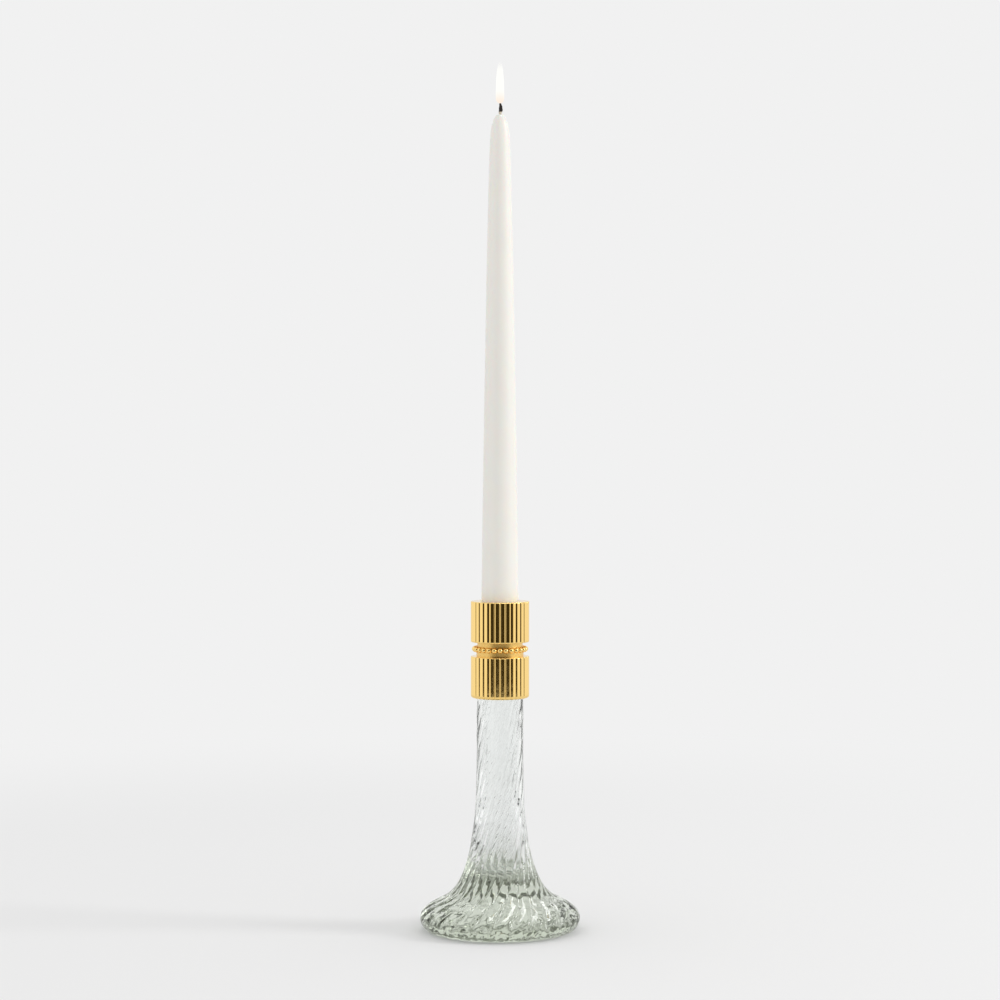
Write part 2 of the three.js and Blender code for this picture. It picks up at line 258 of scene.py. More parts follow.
# %% The bore and the floor of the hollow
BORE_RADIUS = 11.3 * MM
BORE_START = 104 * MM
RIM_BREAK = 0.5 * MM
BORE_ROWS = (GLASS_TOP - RIM_BREAK, GLASS_TOP - 15 * MM, 124 * MM, BORE_START)
HOLLOW_RADIUS = 15.6 * MM
HOLLOW_WIDEST = 38 * MM
HOLLOW_FLOOR = 31 * MM
NARROWING = Vector((0, 26 * MM))
HOLLOW_STEPS = 12
FLOOR_STEPS = 9
inside = [Vector((STEM_RADIUS - RIM_BREAK, GLASS_TOP)), Vector((BORE_RADIUS + RIM_BREAK, GLASS_TOP))]
inside += [Vector((BORE_RADIUS, height)) for height in BORE_ROWS]
bore_end = inside[-1]
hollow_side = Vector((HOLLOW_RADIUS, HOLLOW_WIDEST))
inside += bow(bore_end, bore_end - NARROWING, hollow_side + NARROWING, hollow_side, HOLLOW_STEPS)
for step in range(1, FLOOR_STEPS):
    angle = math.pi / 2 * step / FLOOR_STEPS
    drop = (HOLLOW_WIDEST - HOLLOW_FLOOR) * math.sin(angle)
    inside.append(Vector((HOLLOW_RADIUS * math.cos(angle), HOLLOW_WIDEST - drop)))
inside.append(Vector((POINT, HOLLOW_FLOOR)))
glass_stations += [(point.x, point.y, 0.0, turn) for point in inside]
print("glass inside, stations:", len(inside))

# %% Draw the glass
UNDERSIDE_RISE = 2 * MM
UNDERSIDE_STEPS = 8
swirl_glass = start_strip("swirl_glass", SWIRL, inner_ring, 0.0)
draw_strip(swirl_glass, SWIRL, glass_stations)
underside = []
for step in range(UNDERSIDE_STEPS + 1):
    angle = math.pi / 2 * step / UNDERSIDE_STEPS
    reach = max(inner_ring * math.cos(angle), POINT)
    underside.append((reach, UNDERSIDE_RISE * math.sin(angle), 0.0, 0.0))
pick(swirl_glass, lambda vertex: abs(vertex.co.xy.length - inner_ring) < WELD and vertex.co.z < WELD)
draw_strip(swirl_glass, SWIRL, underside)
close_round(swirl_glass, SWIRL.count)

# %% [markdown]
# Hand-blown glass is never even. Bumps in the finish would leave its outline smooth, so the
# surface itself is moved in and out, by three soft cloud patterns. One acts in the valleys only,
# so that each rib is deeper in some places than in others, and one makes the whole wall a little
# wavy. The third is finer and wrinkles the heel, which shows many thin broken streaks in the
# photograph. The ring that the glass stands on stays flat.

# %% Move the surface by a cloud pattern
def make_uneven(piece, name, patch, height, weight):
    """Displace the surface along its normals by soft patches, as far as weight(vertex) allows."""
    group = piece.vertex_groups.new(name=name)
    moved = 0
    for vertex in piece.data.vertices:
        share = weight(vertex)
        group.add([vertex.index], share, "REPLACE")
        moved += share > 0
    clouds = bpy.data.textures.new(name, "CLOUDS")
    clouds.noise_scale = patch
    clouds.noise_depth = 1
    uneven = piece.modifiers.new(name, "DISPLACE")
    uneven.texture = clouds
    uneven.texture_coords = "LOCAL"
    uneven.strength = height
    uneven.vertex_group = group.name
    bpy.ops.object.modifier_apply(modifier=uneven.name)
    print("cloud pattern on the", name, "moves", moved, "points")


# %% Uneven ribs
VARIED = 4.5 * MM
VARIED_PATCH = 6 * MM
# The radius of the crest at each height that has a row of points
crests = {round(point.y / WELD): point.x for point in outside if RIB_START < point.y < GLASS_TOP}


def valley(vertex):
    """0 on a crest and inside the bore, and up to 1 in the deepest valley."""
    crest = crests.get(round(vertex.co.z / WELD), 0.0)
    return min(max((crest - vertex.co.xy.length) / FOOT_RIB, 0.0), 1.0)


make_uneven(swirl_glass, "valleys", VARIED_PATCH, VARIED, valley)

# %% An uneven wall
UNEVEN = 0.7 * MM
UNEVEN_PATCH = 7 * MM
FOOT_SHARE = 0.35
RING_FADE = 0.3 * EDGE_HEIGHT


def wall(vertex):
    """0 where the glass stands, the foot's share just above that, and 1 from the stem upward."""
    above_ring = min(vertex.co.z / RING_FADE, 1.0)
    return above_ring * (FOOT_SHARE + (1 - FOOT_SHARE) * min(vertex.co.z / STEM_START, 1.0))


make_uneven(swirl_glass, "wall", UNEVEN_PATCH, UNEVEN, wall)

# %% A wrinkled heel
WRINKLED = 1.2 * MM
WRINKLED_PATCH = 2 * MM
WRINKLED_TOP = 12 * MM


def heel(vertex):
    """0 where the glass stands, 1 round the heel and 0 again above it."""
    below_top = (WRINKLED_TOP - vertex.co.z) / (WRINKLED_TOP - EDGE_HEIGHT)
    return max(min(vertex.co.z / RING_FADE, below_top, 1.0), 0.0)


make_uneven(swirl_glass, "heel", WRINKLED_PATCH, WRINKLED, heel)
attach(swirl_glass, "holder")
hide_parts("glass_base")

# %% [markdown]
# ## The two reeded bands
# Each brass band carries 32 reeds, nearly flat ribs that meet in sharp valleys. They are turned,
# reeded and then broken at the edges, so the edges catch a thin line of light. The lower band
# is a cap over the glass neck, closed by a plate with a hole for the screw. The upper band is
# solid below and bored for the candle above. Grooves could be cut into a turned band with a
# boolean, but that leaves ragged faces where they meet the rounded edges. So one reed is swept
# round the whole section of each band, edges and bore included, and spun.

# %% Sizes of the bands
BAND_RADIUS = 17.4 * MM
REED_DEPTH = 0.5 * MM
EDGE_BREAK = 0.5 * MM
BOTTOM_ROUND = 1.6 * MM
SUPPORT = 0.3 * MM
ferrule_low, ferrule_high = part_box("ferrule")
cup_low, cup_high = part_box("candle_cup")
print("bands, heights in mm:", [round(v / MM, 1) for v in (ferrule_low.z, ferrule_high.z, cup_high.z)])

# %% Reeds and their rounded ends
REEDS = Ribs(count=32, across=14, dip=lambda share: share ** 4)
HALF_REED = math.pi / REEDS.count
EDGE_STEPS = 4


def reeded(low, low_round, high, high_round):
    """Stations up the outside of a band, with both edges rounded and a support row next to each."""
    rows = []
    for step in range(EDGE_STEPS + 1):
        angle = math.pi / 2 * step / EDGE_STEPS
        rows.append((low_round * (1 - math.sin(angle)), low + low_round * (1 - math.cos(angle))))
    rows += [(0.0, low + low_round + SUPPORT), (0.0, high - high_round - SUPPORT)]
    for step in range(EDGE_STEPS + 1):
        angle = math.pi / 2 * step / EDGE_STEPS
        rows.append((high_round * (1 - math.cos(angle)), high - high_round * (1 - math.sin(angle))))
    return [(BAND_RADIUS - inset, height, REED_DEPTH, HALF_REED) for inset, height in rows]


def bare(radius, height):
    """A station without reeds."""
    return (radius, height, 0.0, HALF_REED)


# %% One reed swept and spun
REED_SMOOTH = math.radians(28)


def make_band(name, stations):
    """Sweep one reed through the stations, spin it round and keep its sharp edges sharp."""
    band = start_strip(name, REEDS, stations[0][0], stations[0][1])
    bpy.ops.transform.rotate(value=-HALF_REED, orient_axis="Z", center_override=(0, 0, 0))
    draw_strip(band, REEDS, stations, HALF_REED)
    close_round(band, REEDS.count)
    bpy.ops.object.shade_smooth_by_angle(angle=REED_SMOOTH)
    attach(band, "holder")
    return band


# %% The lower band
FERRULE_BORE = 15.0 * MM
FERRULE_PLATE = 3.2 * MM
SCREW_HOLE = 2.8 * MM
ferrule_ceiling = ferrule_high.z - FERRULE_PLATE
ferrule_stations = [bare(FERRULE_BORE, ferrule_low.z)]
ferrule_stations += reeded(ferrule_low.z, BOTTOM_ROUND, ferrule_high.z, EDGE_BREAK)
ferrule_stations += [
    bare(SCREW_HOLE, ferrule_high.z),
    bare(SCREW_HOLE, ferrule_ceiling),
    bare(FERRULE_BORE, ferrule_ceiling),
    bare(FERRULE_BORE, ferrule_low.z),
]
lower_band = make_band("lower_band", ferrule_stations)
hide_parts("ferrule")

# %% The upper band
SOCKET_RADIUS = 11.35 * MM
SOCKET_LEAD = 0.6 * MM
SCREW_POCKET = 5.0 * MM
SCREW_SEAT = 177.0 * MM
candle_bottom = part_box("candle")[0].z
cup_stations = [bare(SCREW_HOLE, cup_low.z)]
cup_stations += reeded(cup_low.z, EDGE_BREAK, cup_high.z, EDGE_BREAK)
cup_stations += [
    bare(SOCKET_RADIUS + SOCKET_LEAD, cup_high.z),
    bare(SOCKET_RADIUS, cup_high.z - SOCKET_LEAD),
    bare(SOCKET_RADIUS, candle_bottom),
    bare(SCREW_POCKET, candle_bottom),
    bare(SCREW_POCKET, SCREW_SEAT),
    bare(SCREW_HOLE, SCREW_SEAT),
    bare(SCREW_HOLE, cup_low.z),
]
upper_band = make_band("upper_band", cup_stations)
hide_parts("candle_cup")

# %% [markdown]
# ## The waist and its beads
# Between the bands a smooth turned spacer carries a slim ring of 28 beads, cast in one piece
# with flat backs. The spacer and the ring are plain round strips. One bead is a sphere, cut flat
# behind. An Array modifier could repeat it, but needs an empty to turn about, so the others are
# spun copies of it, like the ribs.

# %% A plain round piece
PLAIN = Ribs(count=16, across=6, dip=lambda share: 0.0)
ROUND_SMOOTH = math.radians(35)


def level(radius, height):
    """A station of a plain round piece."""
    return (radius, height, 0.0, 0.0)


def make_round(name, stations):
    """Sweep a plain strip through the stations and spin it round."""
    piece = start_strip(name, PLAIN, stations[0][0], stations[0][1])
    draw_strip(piece, PLAIN, stations)
    close_round(piece, PLAIN.count)
    bpy.ops.object.shade_smooth_by_angle(angle=ROUND_SMOOTH)
    return piece


# %% The spacer
WAIST_RADIUS = 14.0 * MM
WAIST_STEP = 0.5 * MM
RING_HEIGHT = 2.2 * MM
ring_low, ring_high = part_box("beaded_ring")
ring_middle = (ring_low.z + ring_high.z) / 2
ring_seat = ring_middle - RING_HEIGHT / 2
spool_low, spool_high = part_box("waist_spool")
waist = make_round("waist", [
    level(SCREW_HOLE, spool_low.z),
    level(WAIST_RADIUS, spool_low.z),
    level(WAIST_RADIUS, ring_seat),
    level(WAIST_RADIUS - WAIST_STEP, ring_seat),
    level(WAIST_RADIUS - WAIST_STEP, spool_high.z),
    level(SCREW_HOLE, spool_high.z),
    level(SCREW_HOLE, spool_low.z),
])
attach(waist, "holder")
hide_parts("waist_spool")

# %% The ring behind the beads
RING_CLEARANCE = 0.15 * MM
RING_THICKNESS = 1.6 * MM
ring_inner = WAIST_RADIUS - WAIST_STEP + RING_CLEARANCE
ring_outer = ring_inner + RING_THICKNESS
bead_ring = make_round("bead_ring", [
    level(ring_inner, ring_seat),
    level(ring_outer, ring_seat),
    level(ring_outer, ring_seat + RING_HEIGHT),
    level(ring_inner, ring_seat + RING_HEIGHT),
    level(ring_inner, ring_seat),
])

# %% One bead, cut flat behind and copied round the ring
BEADS = 28
BEAD_RADIUS = 1.6 * MM
BEAD_SEGMENTS = 24
BEAD_ROWS = 14
BEAD_STAND_OFF = 1.15 * MM
bead_place = (WAIST_RADIUS + BEAD_STAND_OFF, 0, ring_middle)
bead_back = (WAIST_RADIUS + RING_CLEARANCE, 0, 0)
bpy.ops.object.select_all(action="DESELECT")
bpy.ops.mesh.primitive_uv_sphere_add(
    segments=BEAD_SEGMENTS, ring_count=BEAD_ROWS, radius=BEAD_RADIUS, location=bead_place
)
beads = bpy.context.object
beads.name = "beads"
bpy.ops.object.transform_apply(location=True, rotation=True, scale=True)
bpy.ops.object.mode_set(mode="EDIT")
bpy.ops.mesh.select_all(action="SELECT")
bpy.ops.mesh.bisect(plane_co=bead_back, plane_no=(1, 0, 0), clear_inner=True, use_fill=True)
close_round(beads, BEADS)
bpy.ops.object.shade_smooth_by_angle(angle=ROUND_SMOOTH)

# %% Join the beads to their ring
bead_ring.select_set(True)
bpy.context.view_layer.objects.active = bead_ring
bpy.ops.object.join()
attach(bead_ring, "holder")
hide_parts("beaded_ring")
print("ring with its beads, faces:", len(bead_ring.data.polygons))

# %% [markdown]
# ## The taper candle and its wick
# The candle is cast wax: straight where it stands in the socket, then drawn in along a long
# gentle curve to a rounded tip. A stretched cone would have straight sides, so the candle is a
# plain round strip along a Bezier curve. The wick runs through it. What stands out has burnt: it
# is a little twist of strands, swollen in the middle and curled to one side. Three strands are
# one ribbed strip that turns as it rises.

# %% The side of the candle
CANDLE_BASE = 11.05 * MM
TIP_RADIUS = 6.0 * MM
TIP_HEIGHT = 18 * MM
BASE_PULL = Vector((-1.1 * MM, 92.8 * MM))
TIP_PULL = Vector((1.4 * MM, -30 * MM))
TAPER_STEPS = 24
candle_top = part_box("candle")[1].z
tip_start = Vector((TIP_RADIUS, candle_top - TIP_HEIGHT))
taper_start = Vector((CANDLE_BASE, cup_high.z))
taper = bow(taper_start, taper_start + BASE_PULL, tip_start + TIP_PULL, tip_start, TAPER_STEPS)
print("candle side, stations:", len(taper))

# %% The candle
WICK_HOLE = 1.2 * MM
CANDLE_EDGE = 0.6 * MM
TIP_STEPS = 9
candle_stations = [level(WICK_HOLE, candle_bottom), level(CANDLE_BASE - CANDLE_EDGE, candle_bottom)]
candle_stations += [level(CANDLE_BASE, candle_bottom + CANDLE_EDGE), level(*taper_start)]
candle_stations += [level(*point) for point in taper]
for step in range(1, TIP_STEPS + 1):
    angle = math.pi / 2 * step / TIP_STEPS
    reach = WICK_HOLE + (TIP_RADIUS - WICK_HOLE) * math.cos(angle)
    candle_stations.append(level(reach, tip_start.y + TIP_HEIGHT * math.sin(angle)))
candle_stations.append(level(WICK_HOLE, candle_bottom))
taper_candle = make_round("taper_candle", candle_stations)
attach(taper_candle, "taper")
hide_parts("candle")

# %% The wick inside the candle
STRANDS = Ribs(count=3, across=8, dip=lambda share: 1 - math.cos(math.pi * share / 2))
WICK_RADIUS = 0.9 * MM
STRAND_DEPTH = 0.25 * MM
STRAIGHT_END = candle_top - 1 * MM
wick_stations = [
    (POINT, candle_bottom, 0.0, 0.0),
    (WICK_RADIUS, candle_bottom, STRAND_DEPTH, 0.0),
    (WICK_RADIUS, STRAIGHT_END, STRAND_DEPTH, 0.0),
]
print("wick inside the candle, mm:", round((STRAIGHT_END - candle_bottom) / MM, 1))

# %% The burnt end: a twist of strands
STRAND_TURN = math.radians(30)
BURNT_STEPS = 12
BURNT_DEPTH = STRAND_DEPTH * 0.8
# Shares of the wick's radius: where the burnt end starts, what it gains and what it loses higher up
SWELL_START = 0.7
SWELL_MIDDLE = 0.85
SWELL_SKEW = 0.8
SWELL_THINNING = 0.35
wick_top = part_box("wick")[1].z
burnt = wick_top - candle_top
for step in range(BURNT_STEPS + 1):
    share = step / BURNT_STEPS
    swell = SWELL_START + SWELL_MIDDLE * math.sin(math.pi * share ** SWELL_SKEW)
    reach = WICK_RADIUS * swell * (1 - SWELL_THINNING * share)
    wick_stations.append((reach, candle_top + burnt * share, BURNT_DEPTH, STRAND_TURN * step))
wick_stations.append((POINT, wick_top, 0.0, STRAND_TURN * BURNT_STEPS))
burnt_wick = start_strip("burnt_wick", STRANDS, POINT, candle_bottom)
draw_strip(burnt_wick, STRANDS, wick_stations)
close_round(burnt_wick, STRANDS.count)

# %% Curl the wick to one side
CURL = 0.55 * MM
CURL_EASING = 0.3
row_reach = burnt / BURNT_STEPS / 4
bpy.ops.object.mode_set(mode="EDIT")
for step in range(1, BURNT_STEPS + 1):
    share = step / BURNT_STEPS
    height = candle_top + burnt * share
    pick(burnt_wick, lambda vertex: abs(vertex.co.z - height) < row_reach)
    aside = CURL * math.sin(math.pi * share) * (1 - CURL_EASING * share)
    bpy.ops.transform.translate(value=(aside, 0, 0))
bpy.ops.object.mode_set(mode="OBJECT")
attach(burnt_wick, "taper")
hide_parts("wick")
print("burnt end, mm:", round(burnt / MM, 1))

# %% [markdown]
# ## The flame
# A flame is hot, glowing gas, rounded at its foot, where it holds on to the wick, and drawn out
# to a point above. A smoke simulation could make one, but for a still picture a round strip in
# its shape is enough, with a glow for its finish. A flame is light and not a solid, so no
# measured piece stands behind it. It rides with the candle.

# %% The flame
FLAME_RISE = 24.5 * MM
FLAME_OVERLAP = 1.2 * MM
FLAME_TOP = cad_high.z + FLAME_RISE
FLAME_BOTTOM = wick_top - FLAME_OVERLAP
FLAME_RADIUS = 2.5 * MM
FLAME_STEPS = 24
# The share of its height that is rounded, and two powers that draw out the rest
FLAME_FOOT = 0.15
FLAME_BELLY = 3
FLAME_POINT = 0.6
flame_stations = [level(POINT, FLAME_BOTTOM)]
for step in range(1, FLAME_STEPS):
    share = step / FLAME_STEPS
    rounded = math.sqrt(1 - (1 - min(share / FLAME_FOOT, 1.0)) ** 2)
    drawn = (1 - share ** FLAME_BELLY) ** FLAME_POINT
    reach = FLAME_RADIUS * rounded * drawn
    flame_stations.append(level(reach, FLAME_BOTTOM + (FLAME_TOP - FLAME_BOTTOM) * share))
flame_stations.append(level(POINT, FLAME_TOP))
flame = make_round("flame", flame_stations)
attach(flame, "taper")

# %% [markdown]
# ## Finishes
# Every finish is worked out by nodes. Pictures could be wrapped round the pieces, but that needs
# an unwrapped mesh, and they blur close up. Hardly any real surface is the same all over: polish
# drifts, wax is mottled and cotton is fibrous. So the metals, the wax, the cotton and the hidden
# pieces get a roughness that changes from patch to patch, and fine bumps.

# %% Start a finish
def new_finish(name, **values):
    """A material with a Principled shader, and these values on its sockets."""
    finish = bpy.data.materials.new(name)
    finish.use_nodes = True
    shader = finish.node_tree.nodes["Principled BSDF"]
    for socket, value in values.items():
        shader.inputs[socket.replace("_", " ")].default_value = value
    return finish, finish.node_tree, shader


def wear(finish, *pieces):
    """Put one finish on these pieces, in place of what they wear."""
    for piece in pieces:
        piece.data.materials.clear()
        piece.data.materials.append(finish)
    print(finish.name, "on", ", ".join(piece.name for piece in pieces))


# %% Patches and bumps
# Noise seldom leaves this range, so it is stretched from here to the wanted one
NOISE_LOW = 0.3
NOISE_HIGH = 0.7


def mottle(tree, size, low, high):
    """A value that drifts between low and high over patches of this size."""
    place = tree.nodes.new("ShaderNodeTexCoord")
    patches = tree.nodes.new("ShaderNodeTexNoise")
    patches.inputs["Scale"].default_value = 1 / size
    tree.links.new(place.outputs["Object"], patches.inputs["Vector"])
    ramp = tree.nodes.new("ShaderNodeMapRange")
    tree.links.new(patches.outputs["Fac"], ramp.inputs["Value"])
    ramp.inputs["From Min"].default_value = NOISE_LOW
    ramp.inputs["From Max"].default_value = NOISE_HIGH
    ramp.inputs["To Min"].default_value = low
    ramp.inputs["To Max"].default_value = high
    return ramp.outputs["Result"]


def roughen(tree, shader, size, low, high, height):
    """Let the roughness drift between low and high, and raise bumps of this height."""
    tree.links.new(mottle(tree, size, low, high), shader.inputs["Roughness"])
    bump = tree.nodes.new("ShaderNodeBump")
    bump.inputs["Distance"].default_value = height
    tree.links.new(mottle(tree, size, 0.0, 1.0), bump.inputs["Height"])
    tree.links.new(bump.outputs["Normal"], shader.inputs["Normal"])


# %% [markdown]
# The glass is clear with a faint green of its own. A tinted surface would colour thin and thick
# glass alike. The real green shows most where light goes through much glass, in the foot, so
# nearly all of the colour is an absorption inside it.

# %% Clear green glass
GLASS_SURFACE = (0.972, 0.983, 0.98, 1)
GLASS_GREEN = (0.765, 0.809, 0.704, 1)
GLASS_DENSITY = 18.0
glass, nodes, _ = new_finish(
    "swirled_clear_glass",
    Base_Color=GLASS_SURFACE,
    Roughness=0.0,
    IOR=1.52,
    Transmission_Weight=1.0,
)
absorption = nodes.nodes.new("ShaderNodeVolumeAbsorption")
absorption.inputs["Color"].default_value = GLASS_GREEN
absorption.inputs["Density"].default_value = GLASS_DENSITY
nodes.links.new(absorption.outputs["Volume"], nodes.nodes["Material Output"].inputs["Volume"])
wear(glass, swirl_glass)

# %% [markdown]
# The collar is brass with a bright gilt polish, clear enough to show the studio in every reed.
# A metal has no colour but that of its reflections, so the shader is all metal, and the gilt is
# its base colour. The spacer lies deep between the bands, where a polishing wheel hardly reaches,
# and is satin: rougher. Its colour is also a little darker, which is painted shade for its place
# deep between the bands.

# %% Polished and satin brass
GILT = (0.95, 0.67, 0.24, 1)
# A darker gilt for the spacer: painted shade for the recess between the bands
SHADE_DARKENED_GILT = (0.86, 0.57, 0.18, 1)
brass, nodes, shader = new_finish("gilt_brass", Base_Color=GILT, Metallic=1.0)
roughen(nodes, shader, size=3 * MM, low=0.045, high=0.085, height=0.004 * MM)
wear(brass, lower_band, upper_band, bead_ring)
# The spacer's finish: satin roughness, with the darker gilt as painted shade
satin, nodes, shader = new_finish("satin_brass_painted_shade", Base_Color=SHADE_DARKENED_GILT, Metallic=1.0)
roughen(nodes, shader, size=1 * MM, low=0.3, high=0.4, height=0.004 * MM)
wear(satin, waist)

# %% [markdown]
# Wax lets a little light in below its surface, which softens its shading, so it gets some
# subsurface scattering. Its white is warmer in some patches than in others. The wick is plain
# cotton inside the candle, and nearly black where it has burnt.

# %% Blends
def blend(tree, share, first, second):
    """The first colour where the share is 0 and the second where it is 1."""
    mix = tree.nodes.new("ShaderNodeMix")
    mix.data_type = "RGBA"
    tree.links.new(share, mix.inputs["Factor"])
    mix.inputs["A"].default_value = first
    mix.inputs["B"].default_value = second
    return mix.outputs["Result"]


def by_height(tree, low, high):
    """0 below the low height and 1 above the high one."""
    place = tree.nodes.new("ShaderNodeTexCoord")
    axes = tree.nodes.new("ShaderNodeSeparateXYZ")
    tree.links.new(place.outputs["Object"], axes.inputs["Vector"])
    ramp = tree.nodes.new("ShaderNodeMapRange")
    ramp.interpolation_type = "SMOOTHSTEP"
    tree.links.new(axes.outputs["Z"], ramp.inputs["Value"])
    ramp.inputs["From Min"].default_value = low
    ramp.inputs["From Max"].default_value = high
    return ramp.outputs["Result"]


# %% White wax
CLEAN_WAX = (0.86, 0.84, 0.787, 1)
WARM_WAX = (0.85, 0.829, 0.772, 1)
WAX_PATCH = 14 * MM
wax, nodes, shader = new_finish("white_wax", Subsurface_Weight=0.2, Subsurface_Scale=0.003)
patches = mottle(nodes, WAX_PATCH, 0.0, 1.0)
nodes.links.new(blend(nodes, patches, CLEAN_WAX, WARM_WAX), shader.inputs["Base Color"])
roughen(nodes, shader, size=6 * MM, low=0.36, high=0.48, height=0.03 * MM)
wear(wax, taper_candle)

# %% Cotton, burnt where it stands out
CLEAN_COTTON = (0.74, 0.66, 0.53, 1)
CHARRED_COTTON = (0.022, 0.017, 0.014, 1)
CHAR_START = candle_top + 1.0 * MM
CHAR_FULL = candle_top + 1.9 * MM
cotton, nodes, shader = new_finish("burnt_cotton")
charred = by_height(nodes, CHAR_START, CHAR_FULL)
nodes.links.new(blend(nodes, charred, CLEAN_COTTON, CHARRED_COTTON), shader.inputs["Base Color"])
roughen(nodes, shader, size=0.4 * MM, low=0.85, high=1.0, height=0.08 * MM)
wear(cotton, burnt_wick)

# %% [markdown]
# A flame is light and no surface: it glows, a little warmer at its foot, and fades to nothing
# at its tip. The shader's own emission does this on black, with an alpha that falls with height.

# %% One step of arithmetic
def calculate(tree, operation, first, second=None):
    """One step of arithmetic between sockets or numbers."""
    step = tree.nodes.new("ShaderNodeMath")
    step.operation = operation
    for socket, value in zip(step.inputs, (first, second)):
        if isinstance(value, (int, float)):
            socket.default_value = value
        elif value is not None:
            tree.links.new(value, socket)
    return step.outputs[0]


# %% The flame's own light
BLACK = (0, 0, 0, 1)
WARM_GLOW = (1.0, 0.86, 0.74, 1)
WHITE_GLOW = (1.0, 1.0, 0.96, 1)
glow, nodes, shader = new_finish("flame_glow", Base_Color=BLACK, Roughness=1.0, Emission_Strength=1.0)
third = (FLAME_TOP - FLAME_BOTTOM) / 3
body = by_height(nodes, FLAME_BOTTOM, FLAME_BOTTOM + third)
nodes.links.new(blend(nodes, body, WARM_GLOW, WHITE_GLOW), shader.inputs["Emission Color"])
faded = by_height(nodes, FLAME_TOP - third, FLAME_TOP)
nodes.links.new(calculate(nodes, "SUBTRACT", 1.0, faded), shader.inputs["Alpha"])
wear(glow, flame)

# %% [markdown]
# The screw, its washers and nut, the gasket and the setting compound are inside the collar. At
# most the head of the screw shows, down in an empty socket, so finer meshes would be wasted. They
# stay as measured and only get a finish: plated steel, soft rubber and a chalky compound.

# %% Hidden pieces
STEEL_GREY = (0.62, 0.62, 0.63, 1)
RUBBER_GREY = (0.68, 0.66, 0.62, 1)
CHALKY = (0.78, 0.75, 0.68, 1)
steel, nodes, shader = new_finish("plated_steel", Base_Color=STEEL_GREY, Metallic=1.0)
roughen(nodes, shader, size=1 * MM, low=0.25, high=0.38, height=0.005 * MM)
rubber, nodes, shader = new_finish("gasket_rubber", Base_Color=RUBBER_GREY)
roughen(nodes, shader, size=0.8 * MM, low=0.7, high=0.9, height=0.02 * MM)
compound, nodes, shader = new_finish("setting_compound", Base_Color=CHALKY)
roughen(nodes, shader, size=1.2 * MM, low=0.6, high=0.85, height=0.05 * MM)
for node, finish in {
    "cup_screw": steel,
    "flat_washer": steel,
    "lock_washer": steel,
    "hex_nut": steel,
    "rim_gasket": rubber,
    "glass_bond": compound,
}.items():
    wear(finish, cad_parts[node])
print("finishes:", sorted(finish.name for finish in bpy.data.materials if finish.users))

# %% [markdown]
# ## The studio
# The photograph has a pale floor that runs into a pale backdrop without a line. A curved sheet
# of paper could be modelled for that. A wide round floor is simpler: far from the object it fades
# into the same even tone that the camera sees in the world, so its edge doesn't show, and near
# the object it is plain paper that takes the shadow.

# %% The floor
FLOOR_DROP = 0.2 * MM
FLOOR_REACH = 1.3
FLOOR_SIDES = 96
FLOOR_GREY = (0.86, 0.86, 0.86, 1)
bpy.ops.object.select_all(action="DESELECT")
bpy.ops.mesh.primitive_circle_add(
    vertices=FLOOR_SIDES, radius=FLOOR_REACH, fill_type="NGON", location=(0, 0, -FLOOR_DROP)
)
floor = bpy.context.object
floor.name = "floor"
paper, nodes, shader = new_finish("pale_floor", Base_Color=FLOOR_GREY, Roughness=1.0)
shader.inputs["Specular IOR Level"].default_value = 0.0
wear(paper, floor)

# %% How far the floor has faded
FADE_START = 0.45
FADE_END = 1.0
place = nodes.nodes.new("ShaderNodeTexCoord")
away = nodes.nodes.new("ShaderNodeVectorMath")
away.operation = "LENGTH"
nodes.links.new(place.outputs["Object"], away.inputs[0])
fade = nodes.nodes.new("ShaderNodeMapRange")
fade.interpolation_type = "SMOOTHSTEP"
fade.inputs["From Min"].default_value = FADE_START
fade.inputs["From Max"].default_value = FADE_END
nodes.links.new(away.outputs["Value"], fade.inputs["Value"])
print("floor fades from", FADE_START, "to", FADE_END, "m")

# %% The even tone it fades into
PALE = 0.88
WHITE = (1, 1, 1, 1)
even = nodes.nodes.new("ShaderNodeEmission")
even.inputs["Color"].default_value = WHITE
even.inputs["Strength"].default_value = PALE
rays = nodes.nodes.new("ShaderNodeLightPath")
seen = calculate(nodes, "MAXIMUM", rays.outputs["Is Camera Ray"], rays.outputs["Is Glossy Ray"])
seen = calculate(nodes, "MAXIMUM", seen, rays.outputs["Is Transmission Ray"])
mixed = nodes.nodes.new("ShaderNodeMixShader")
nodes.links.new(calculate(nodes, "MULTIPLY", seen, fade.outputs["Result"]), mixed.inputs["Fac"])
nodes.links.new(shader.outputs["BSDF"], mixed.inputs[1])
nodes.links.new(even.outputs["Emission"], mixed.inputs[2])
nodes.links.new(mixed.outputs["Shader"], nodes.nodes["Material Output"].inputs["Surface"])
print("floor nodes:", len(nodes.nodes))

# %% [markdown]
# Brass and glass show what stands round them. Cards and lamps could be put up for them to
# mirror, but the world can do it without any: it is pale, a little brighter at the sides, with a
# dark, warm part on the camera's side, like a dim room behind the camera, and a bright strip
# overhead. Angles of the direction that a ray takes place these parts.

# %% Directions in the world
world = bpy.data.worlds.new("studio")
bpy.context.scene.world = world
world.use_nodes = True
nodes = world.node_tree
place = nodes.nodes.new("ShaderNodeTexCoord")
axes = nodes.nodes.new("ShaderNodeSeparateXYZ")
nodes.links.new(place.outputs["Generated"], axes.inputs["Vector"])
toward_camera = calculate(nodes, "MULTIPLY", axes.outputs["Y"], -1.0)
azimuth = calculate(nodes, "ARCTAN2", axes.outputs["X"], toward_camera)
elevation = calculate(nodes, "ARCSINE", axes.outputs["Z"])
rightward = calculate(nodes, "ARCSINE", axes.outputs["X"])
backward = calculate(nodes, "ARCTAN2", axes.outputs["Y"], axes.outputs["Z"])


